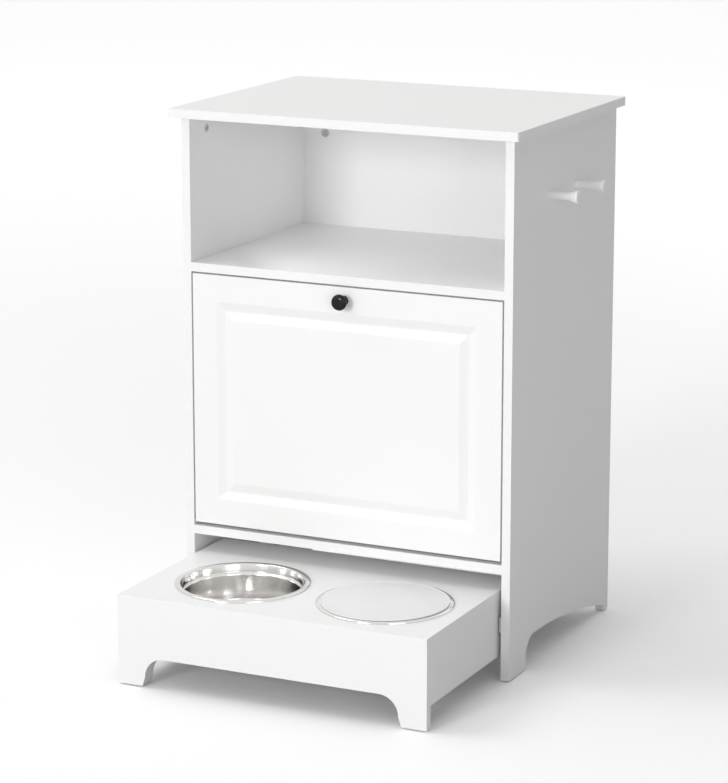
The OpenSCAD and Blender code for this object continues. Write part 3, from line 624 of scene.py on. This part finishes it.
BOWL_D, RIM_W, RIM_H, BOWL_DEEP, BOWL_FOOT_D = 225.0, 10.0, 3.0, 66.0, 150.0      # mm
SHEET, SEAT = 1.0, 0.2                          # mm; the seat is the gap under the rim


def bowl_profile():
    """Upper face of the sheet from the rolled edge to the middle, then back
    along the lower face; heights are over the drawer's top."""
    edge, top, mouth, foot = BOWL_D / 2, SEAT + RIM_H, BOWL_D / 2 - RIM_W, BOWL_FOOT_D / 2
    step = -BOWL_DEEP / 5
    upper = [(edge, SEAT), (edge - 0.05, SEAT + 0.9), (edge - 0.35, SEAT + 1.9), (edge - 1.1, top - 0.35),
             (edge - 2.4, top), (edge - 2.4, top), (mouth + 2.0, top - 0.02), (mouth + 2.0, top - 0.02),
             (mouth + 0.6, top - 0.4), (mouth - 0.3, top - 1.5), (mouth - 0.8, top - 3.2),
             (mouth - 2.3, step + 4.4), (mouth - 2.6, step + 2.6), (mouth - 3.6, step + 1.0),
             (mouth - 5.0, step + 0.1), (mouth - 5.6, step - 1.2), (mouth - 6.2, step - 6.0)]
    for a in range(0, 91, 9):
        c, s = math.cos(math.radians(a)), math.sin(math.radians(a))
        upper.append((foot + (mouth - 10 - foot) * c, -BOWL_DEEP + 14 * (1 - s)))
    upper += [(foot - 3, -BOWL_DEEP), (foot - 5, -BOWL_DEEP + 0.5), (foot - 7, -BOWL_DEEP),
              (foot * 0.5, -BOWL_DEEP), (0, -BOWL_DEEP), (0, -BOWL_DEEP)]
    line = swept_line(upper, 3)
    back = []
    for i in range(len(line) - 1, -1, -1):
        a, b = line[max(i - 1, 0)], line[min(i + 1, len(line) - 1)]
        t = (b - a).normalized()
        back.append(line[i] + SHEET * Vector((t.y, -t.x)) * -1)
    back[0] = Vector((0, -BOWL_DEEP - SHEET))
    return [tuple(p) for p in line[::-1]] + [tuple(p) for p in back[::-1]]


def bowl(node, rim_centre):
    low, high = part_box(node)
    place = Matrix.Translation((rim_centre[0], rim_centre[1], high.z - (SEAT + RIM_H) / 1000))
    steel = turned_metal(node + "_polished", (0.80, 0.79, 0.78), rim_centre, 0.13)
    dressed(turned(node + "_pressed", bowl_profile(), place, steel, 144, 40), node)


def centre_of(node):
    low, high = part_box(node)
    return ((low.x + high.x) / 2, (low.y + high.y) / 2)


bowl("left_bowl", centre_of("left_bowl"))
bowl("right_bowl", centre_of("right_bowl"))

satin = handled("pale_satin_plastic", (0.84, 0.845, 0.84), (0.80, 0.805, 0.80), (0.88, 0.88, 0.88),
                gloss=0.3, rub=0.2, gloss_drift=0.1, grain=520.0, drift=9.0, bump=0.1, bump_mm=0.04)


def lid():
    low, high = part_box("bowl_lid")
    at = centre_of("bowl_lid")
    ring, thick, crown = 2.5, 1.6, 2.0
    place = Matrix.Translation((at[0], at[1], low.z + ring / 1000))
    edge = (high.x - low.x) * 500
    out = BOWL_D / 2 - RIM_W - 2
    land = out - 3
    line = [(0, crown), (0, crown)]
    line += [(land * k / 8, crown * (1 - (k / 8) ** 2)) for k in range(1, 9)]
    line += [(land, 0), (out - 1.6, 0), (out - 1.6, 0), (out - 1.4, -ring), (out - 1.4, -ring),
             (out - 0.4, -ring), (out - 0.4, -ring), (out, 0.5 - ring), (out, 0), (out, 0)]
    line += [(edge - 0.7, 0), (edge - 0.7, 0), (edge - 0.1, 0.3), (edge, 0.9), (edge - 0.05, thick - 0.1),
             (edge - 0.3, thick + 0.25), (edge - 0.9, thick + 0.38), (edge - 1.8, thick + 0.2),
             (edge - 2.6, thick), (edge - 2.6, thick), (land + 0.5, thick), (land + 0.5, thick)]
    line += [(land * k / 8, thick + crown * (1 - (k / 8) ** 2)) for k in range(7, -1, -1)]
    line += [(0, thick + crown)]
    dressed(turned("satin_lid", swept_line(line, 2), place, satin, 144, 40), "bowl_lid")


lid()

# ---------------------------------------------------------------- drawer runners
# Folded channels of zinc-plated sheet on the side panels. A bracket near each
# rear corner of the drawer carries a nylon roller that runs in its channel.

plated = handled("plated_sheet", (0.62, 0.63, 0.64), (0.55, 0.56, 0.575), (0.74, 0.74, 0.74),
                 gloss=0.3, rub=0.6, gloss_drift=0.16, grain=1400.0, drift=35.0, bump=0.12, bump_mm=0.02,
                 metallic=1.0)
for node in ("left_runner", "right_runner", "roller_brackets"):
    eased(node, 0.22, plated)

bright = handled("bright_steel", (0.72, 0.72, 0.73), (0.68, 0.68, 0.69), (0.8, 0.8, 0.8),
                 gloss=0.14, rub=0.3, gloss_drift=0.1, grain=900.0, drift=80.0, bump=0.03, bump_mm=0.01,
                 metallic=1.0)


def islands(node):
    """The separate solids of a node, as lists of points."""
    shape = welded_copy(node)
    left, found = set(shape.verts), []
    while left:
        queue, group = [left.pop()], []
        while queue:
            v = queue.pop()
            group.append(v.co.copy())
            for e in v.link_edges:
                o = e.other_vert(v)
                if o in left:
                    left.remove(o)
                    queue.append(o)
        found.append(group)
    shape.free()
    return sorted(found, key=lambda g: tuple(round(sum(p[i] for p in g) / len(g), 4) for i in range(3)))


def box_of(points):
    return (Vector([min(p[i] for p in points) for i in range(3)]),
            Vector([max(p[i] for p in points) for i in range(3)]))


def nodes_tree(name, inputs):
    """An empty Geometry Nodes tree with named inputs, and its two end nodes."""
    tree = bpy.data.node_groups.new(name, "GeometryNodeTree")
    tree.interface.new_socket("Geometry", in_out="INPUT", socket_type="NodeSocketGeometry")
    for label, kind in inputs:
        tree.interface.new_socket(label, in_out="INPUT", socket_type=kind)
    tree.interface.new_socket("Geometry", in_out="OUTPUT", socket_type="NodeSocketGeometry")
    return tree, tree.nodes.new("NodeGroupInput"), tree.nodes.new("NodeGroupOutput")


def add(tree, kind, **values):
    """A node with its settings; values are numbers, names or sockets."""
    made = tree.nodes.new(kind)
    for label, value in values.items():
        label = label.replace("_", " ")
        if isinstance(value, bpy.types.NodeSocket):
            tree.links.new(value, made.inputs[label])
        else:
            made.inputs[label].default_value = value
    return made


def copies_at_points(tree, start, end, form):
    """Sets a form at every point, turned by the points' own attribute."""
    turn = tree.nodes.new("GeometryNodeInputNamedAttribute")
    turn.data_type = "FLOAT_VECTOR"
    turn.inputs["Name"].default_value = "turn"
    put = add(tree, "GeometryNodeInstanceOnPoints", Points=start.outputs["Geometry"], Instance=form)
    tree.links.new(turn.outputs["Attribute"], put.inputs["Rotation"])
    real = add(tree, "GeometryNodeRealizeInstances", Geometry=put.outputs["Instances"])
    skin = add(tree, "GeometryNodeSetMaterial", Geometry=real.outputs["Geometry"],
               Material=start.outputs["Finish"])
    tree.links.new(skin.outputs["Geometry"], end.inputs["Geometry"])


def place_copies(name, tree, points, turns, values, node, paint, smooth=35):
    """Runs a tree on a set of points and keeps the result as a plain mesh."""
    seeds = bpy.data.meshes.new(name)
    seeds.from_pydata(points, [], [])
    attribute = seeds.attributes.new("turn", "FLOAT_VECTOR", "POINT")
    attribute.data.foreach_set("vector", [x for t in turns for x in t])
    piece = new_object(name, seeds)
    grow = piece.modifiers.new("grow", "NODES")
    grow.node_group = tree
    sockets = {i.name: i.identifier for i in tree.interface.items_tree if i.in_out == "INPUT"}
    for label, value in {**values, "Finish": paint}.items():
        grow[sockets[label]] = value
    bpy.context.view_layer.update()
    keep_made(piece)
    shade_smooth(piece.data, smooth)
    dressed(piece, node)


# ---------------------------------------------------------------- wood screws
# Countersunk cross-head screws in zinc plate. The thread is rolled round a core,
# and each screw sits where the drawings have it, head flush with its board.

zinc = handled("zinc_plate", (0.62, 0.62, 0.61), (0.54, 0.545, 0.54), (0.75, 0.75, 0.74),
               gloss=0.28, rub=0.5, gloss_drift=0.15, grain=1600.0, drift=90.0, bump=0.08, bump_mm=0.02,
               metallic=1.0)


def screw_tree():
    tree, start, end = nodes_tree("cross_head_screw", [
        ("Head diameter", "NodeSocketFloat"), ("Thread diameter", "NodeSocketFloat"),
        ("Length", "NodeSocketFloat"), ("Finish", "NodeSocketMaterial")])

    def times(socket, share):
        return maths(tree, "MULTIPLY", socket, share)

    wide, thread, length = (start.outputs[n] for n in ("Head diameter", "Thread diameter", "Length"))
    core = times(thread, 0.36)
    head_h = times(thread, 0.5)
    head = add(tree, "GeometryNodeMeshCone", Vertices=28, Side_Segments=2, Radius_Top=times(wide, 0.49),
               Radius_Bottom=core, Depth=head_h)
    head_at = add(tree, "GeometryNodeTransform", Geometry=head.outputs["Mesh"],
                  Translation=vector(tree, 0, 0, times(head_h, -1)))
    cross = add(tree, "GeometryNodeJoinGeometry")
    for turn in (0, math.pi / 2):
        size = vector(tree, times(wide, 0.55), times(wide, 0.12), times(head_h, 1.2))
        blade = add(tree, "GeometryNodeMeshCube", Size=size)
        blade_at = add(tree, "GeometryNodeTransform", Geometry=blade.outputs["Mesh"], Rotation=(0, 0, turn))
        tree.links.new(blade_at.outputs["Geometry"], cross.inputs["Geometry"])
    recess = tree.nodes.new("GeometryNodeMeshBoolean")
    recess.operation = "DIFFERENCE"
    tree.links.new(head_at.outputs["Geometry"], recess.inputs["Mesh 1"])
    tree.links.new(cross.outputs["Geometry"], recess.inputs["Mesh 2"])
    shank_l = maths(tree, "SUBTRACT", length, head_h)
    shank = add(tree, "GeometryNodeMeshCone", Vertices=12, Radius_Top=core,
                Radius_Bottom=times(core, 0.55), Depth=shank_l)
    shank_at = add(tree, "GeometryNodeTransform", Geometry=shank.outputs["Mesh"],
                   Translation=vector(tree, 0, 0, times(length, -1)))
    turns = maths(tree, "DIVIDE", times(shank_l, 0.8), times(thread, 0.42))
    spiral = add(tree, "GeometryNodeCurveSpiral", Resolution=10, Rotations=turns,
                 Start_Radius=times(core, 0.75), End_Radius=times(core, 1.05),
                 Height=times(shank_l, 0.8))
    spiral_at = add(tree, "GeometryNodeTransform", Geometry=spiral.outputs["Curve"],
                    Translation=vector(tree, 0, 0, times(length, -0.97)))
    ridge = add(tree, "GeometryNodeCurvePrimitiveCircle", Resolution=3, Radius=times(thread, 0.1))
    thread_mesh = add(tree, "GeometryNodeCurveToMesh", Curve=spiral_at.outputs["Geometry"],
                      Profile_Curve=ridge.outputs["Curve"], Fill_Caps=True)
    whole = add(tree, "GeometryNodeJoinGeometry")
    for part in (recess.outputs["Mesh"], shank_at.outputs["Geometry"], thread_mesh.outputs["Mesh"]):
        tree.links.new(part, whole.inputs["Geometry"])
    copies_at_points(tree, start, end, whole.outputs["Geometry"])
    return tree


SCREWS = screw_tree()
SCREW_HEAD_D, SCREW_D = 0.007, 0.0035           # metres


def long_axis(low, high):
    size = high - low
    return max(range(3), key=lambda i: size[i])


def head_and_facing(points):
    """Where a screw's head face is, which way it faces, and its length."""
    low, high = box_of(points)
    i = long_axis(low, high)
    middle = (low + high) / 2

    def spread(end):
        near = [p for p in points if abs(p[i] - end) < 0.0004]
        return max((max(abs(p[j] - middle[j]) for j in range(3) if j != i) for p in near), default=0)
    facing = Vector((0, 0, 0))
    facing[i] = 1.0 if spread(high[i]) > spread(low[i]) else -1.0
    head = middle.copy()
    head[i] = high[i] if facing[i] > 0 else low[i]
    return head, facing, high[i] - low[i]


def screws(node):
    found = [head_and_facing(g) for g in islands(node)]
    up = Vector((0, 0, 1))
    turns = [tuple(up.rotation_difference(f).to_euler()) for _, f, _ in found]
    place_copies(node + "_driven", SCREWS, [h for h, _, _ in found], turns,
                 {"Head diameter": SCREW_HEAD_D, "Thread diameter": SCREW_D, "Length": found[0][2]},
                 node, zinc)


for node in ("batten_screws", "peg_screws", "runner_screws", "bracket_screws", "cleat_screws",
             "foot_block_screws", "knob_screw", "bin_screws"):
    screws(node)

# ---------------------------------------------------------------- cam fittings
# Die-cast cam locks turn in blind holes and draw on the heads of steel bolts.
# Magnets and strike plates that keep the door shut have the same plating.

for node, radius in (("side_cam_locks", 0.35), ("back_cam_locks", 0.35), ("shelf_cam_locks", 0.35),
                     ("top_cam_bolts", 0.4), ("back_cam_bolts", 0.4), ("shelf_cam_bolts", 0.4),
                     ("magnets", 0.5), ("strike_plates", 0.3)):
    eased(node, radius, zinc)
eased("pivot_pins", 0.5, bright)

# ---------------------------------------------------------------- dowels and cleats
# Beech dowels with pressed flutes and chamfered ends, and beech cleats under the
# drawer's top, all bare wood.


def beech_grain():
    """Long fibres with short dark flecks."""
    group, start, end = group_of(
        "beech_grain",
        [("Vector", "v", None), ("Pale", "c", None), ("Dark", "c", None), ("Stretch", "f", 18.0)],
        [("Colour", "c"), ("Height", "f")])
    cut = group.nodes.new("ShaderNodeSeparateXYZ")
    group.links.new(start.outputs["Vector"], cut.inputs[0])
    x, y, z = cut.outputs
    pulled = vector(group, maths(group, "MULTIPLY", x, start.outputs["Stretch"]), y,
                    maths(group, "MULTIPLY", z, start.outputs["Stretch"]))
    fibre = noise(group, pulled, 30.0, 5, 0.6)
    fleck = noise(group, pulled, 95.0, 2, 0.5)
    dark = maths(group, "MULTIPLY", maths(group, "GREATER_THAN", fleck, 0.62), 0.45)
    tone = mixed(group, fibre, start.outputs["Dark"], start.outputs["Pale"])
    group.links.new(mixed(group, dark, tone, start.outputs["Dark"]), end.inputs["Colour"])
    group.links.new(fibre, end.inputs["Height"])
    return group


def bare_beech():
    paint, tree, bsdf = shader_of("bare_beech")
    place = tree.nodes.new("ShaderNodeTexCoord")
    turn = tree.nodes.new("ShaderNodeMapping")
    grain = tree.nodes.new("ShaderNodeGroup")
    grain.node_tree = beech_grain()
    grain.inputs["Pale"].default_value = (0.72, 0.55, 0.36, 1)
    grain.inputs["Dark"].default_value = (0.52, 0.35, 0.2, 1)
    bumps = tree.nodes.new("ShaderNodeBump")
    bumps.inputs["Strength"].default_value = 0.3
    bumps.inputs["Distance"].default_value = 0.0001
    link = tree.links.new
    link(place.outputs["Object"], turn.inputs["Vector"])
    link(turn.outputs["Vector"], grain.inputs["Vector"])
    link(grain.outputs["Colour"], bsdf.inputs["Base Color"])
    link(grain.outputs["Height"], bumps.inputs["Height"])
    link(bumps.outputs["Normal"], bsdf.inputs["Normal"])
    bsdf.inputs["Roughness"].default_value = 0.62
    return paint


beech = bare_beech()
eased("top_cleats", 0.8, beech)


def dowel_tree():
    tree, start, end = nodes_tree("fluted_dowel", [
        ("Diameter", "NodeSocketFloat"), ("Length", "NodeSocketFloat"),
        ("Flutes", "NodeSocketInt"), ("Finish", "NodeSocketMaterial")])

    def part_of(socket, share):
        return maths(tree, "MULTIPLY", start.outputs[socket], share)

    star = add(tree, "GeometryNodeCurveStar", Points=start.outputs["Flutes"],
               Inner_Radius=part_of("Diameter", 0.465), Outer_Radius=part_of("Diameter", 0.5))
    line = tree.nodes.new("GeometryNodeCurvePrimitiveLine")
    line.mode = "POINTS"
    for label, share in (("Start", 0.0), ("End", 1.0)):
        tree.links.new(vector(tree, 0, 0, part_of("Length", share)), line.inputs[label])
    cut = add(tree, "GeometryNodeResampleCurve", Curve=line.outputs["Curve"], Count=12)
    where = tree.nodes.new("GeometryNodeSplineParameter")
    curve = tree.nodes.new("ShaderNodeFloatCurve")
    dots = curve.mapping.curves[0].points
    dots[0].location, dots[1].location = (0.0, 0.84), (1.0, 0.84)
    for spot in ((0.07, 1.0), (0.93, 1.0)):
        dots.new(*spot)
    for dot in dots:
        dot.handle_type = "VECTOR"
    curve.mapping.update()
    tree.links.new(where.outputs["Factor"], curve.inputs["Value"])
    solid = add(tree, "GeometryNodeCurveToMesh", Curve=cut.outputs["Curve"],
                Profile_Curve=star.outputs["Curve"], Scale=curve.outputs["Value"], Fill_Caps=True)
    copies_at_points(tree, start, end, solid.outputs["Mesh"])
    return tree


DOWELS = dowel_tree()
FLUTES = 20


def dowels(node):
    boxes = [box_of(g) for g in islands(node)]
    up = Vector((0, 0, 1))
    starts, turns = [], []
    for low, high in boxes:
        i = long_axis(low, high)
        start = (low + high) / 2
        start[i] = low[i]
        facing = Vector((0, 0, 0))
        facing[i] = 1.0
        starts.append(start)
        turns.append(tuple(up.rotation_difference(facing).to_euler()))
    low, high = boxes[0]
    sizes = sorted(high - low)
    place_copies(node + "_fluted", DOWELS, starts, turns,
                 {"Diameter": sizes[0], "Length": sizes[2], "Flutes": FLUTES},
                 node, beech, smooth=25)


for node in ("board_dowels", "drawer_dowels", "bin_dowels"):
    dowels(node)

# ---------------------------------------------------------------- plastic and rubber
# Nail-on glides under the feet and bushes round the pivot pins are moulded grey
# plastic; the door shuts on two small rubber bumpers.

moulded = handled("grey_plastic", (0.43, 0.43, 0.44), (0.39, 0.39, 0.4), (0.52, 0.52, 0.52),
                  gloss=0.48, rub=0.4, gloss_drift=0.12, grain=1100.0, drift=50.0, bump=0.2, bump_mm=0.05)
rubber = handled("bumper_rubber", (0.5, 0.5, 0.5), (0.45, 0.45, 0.45), (0.55, 0.55, 0.55),
                 gloss=0.72, rub=0.2, gloss_drift=0.1, grain=1500.0, drift=60.0, bump=0.25, bump_mm=0.05)
for node in ("pivot_bushes", "cabinet_glides", "drawer_glides"):
    eased(node, 0.4, moulded)
for node in ("left_roller", "right_roller"):
    eased(node, 0.2, moulded, steep=50)
eased("door_bumpers", 0.35, rubber)
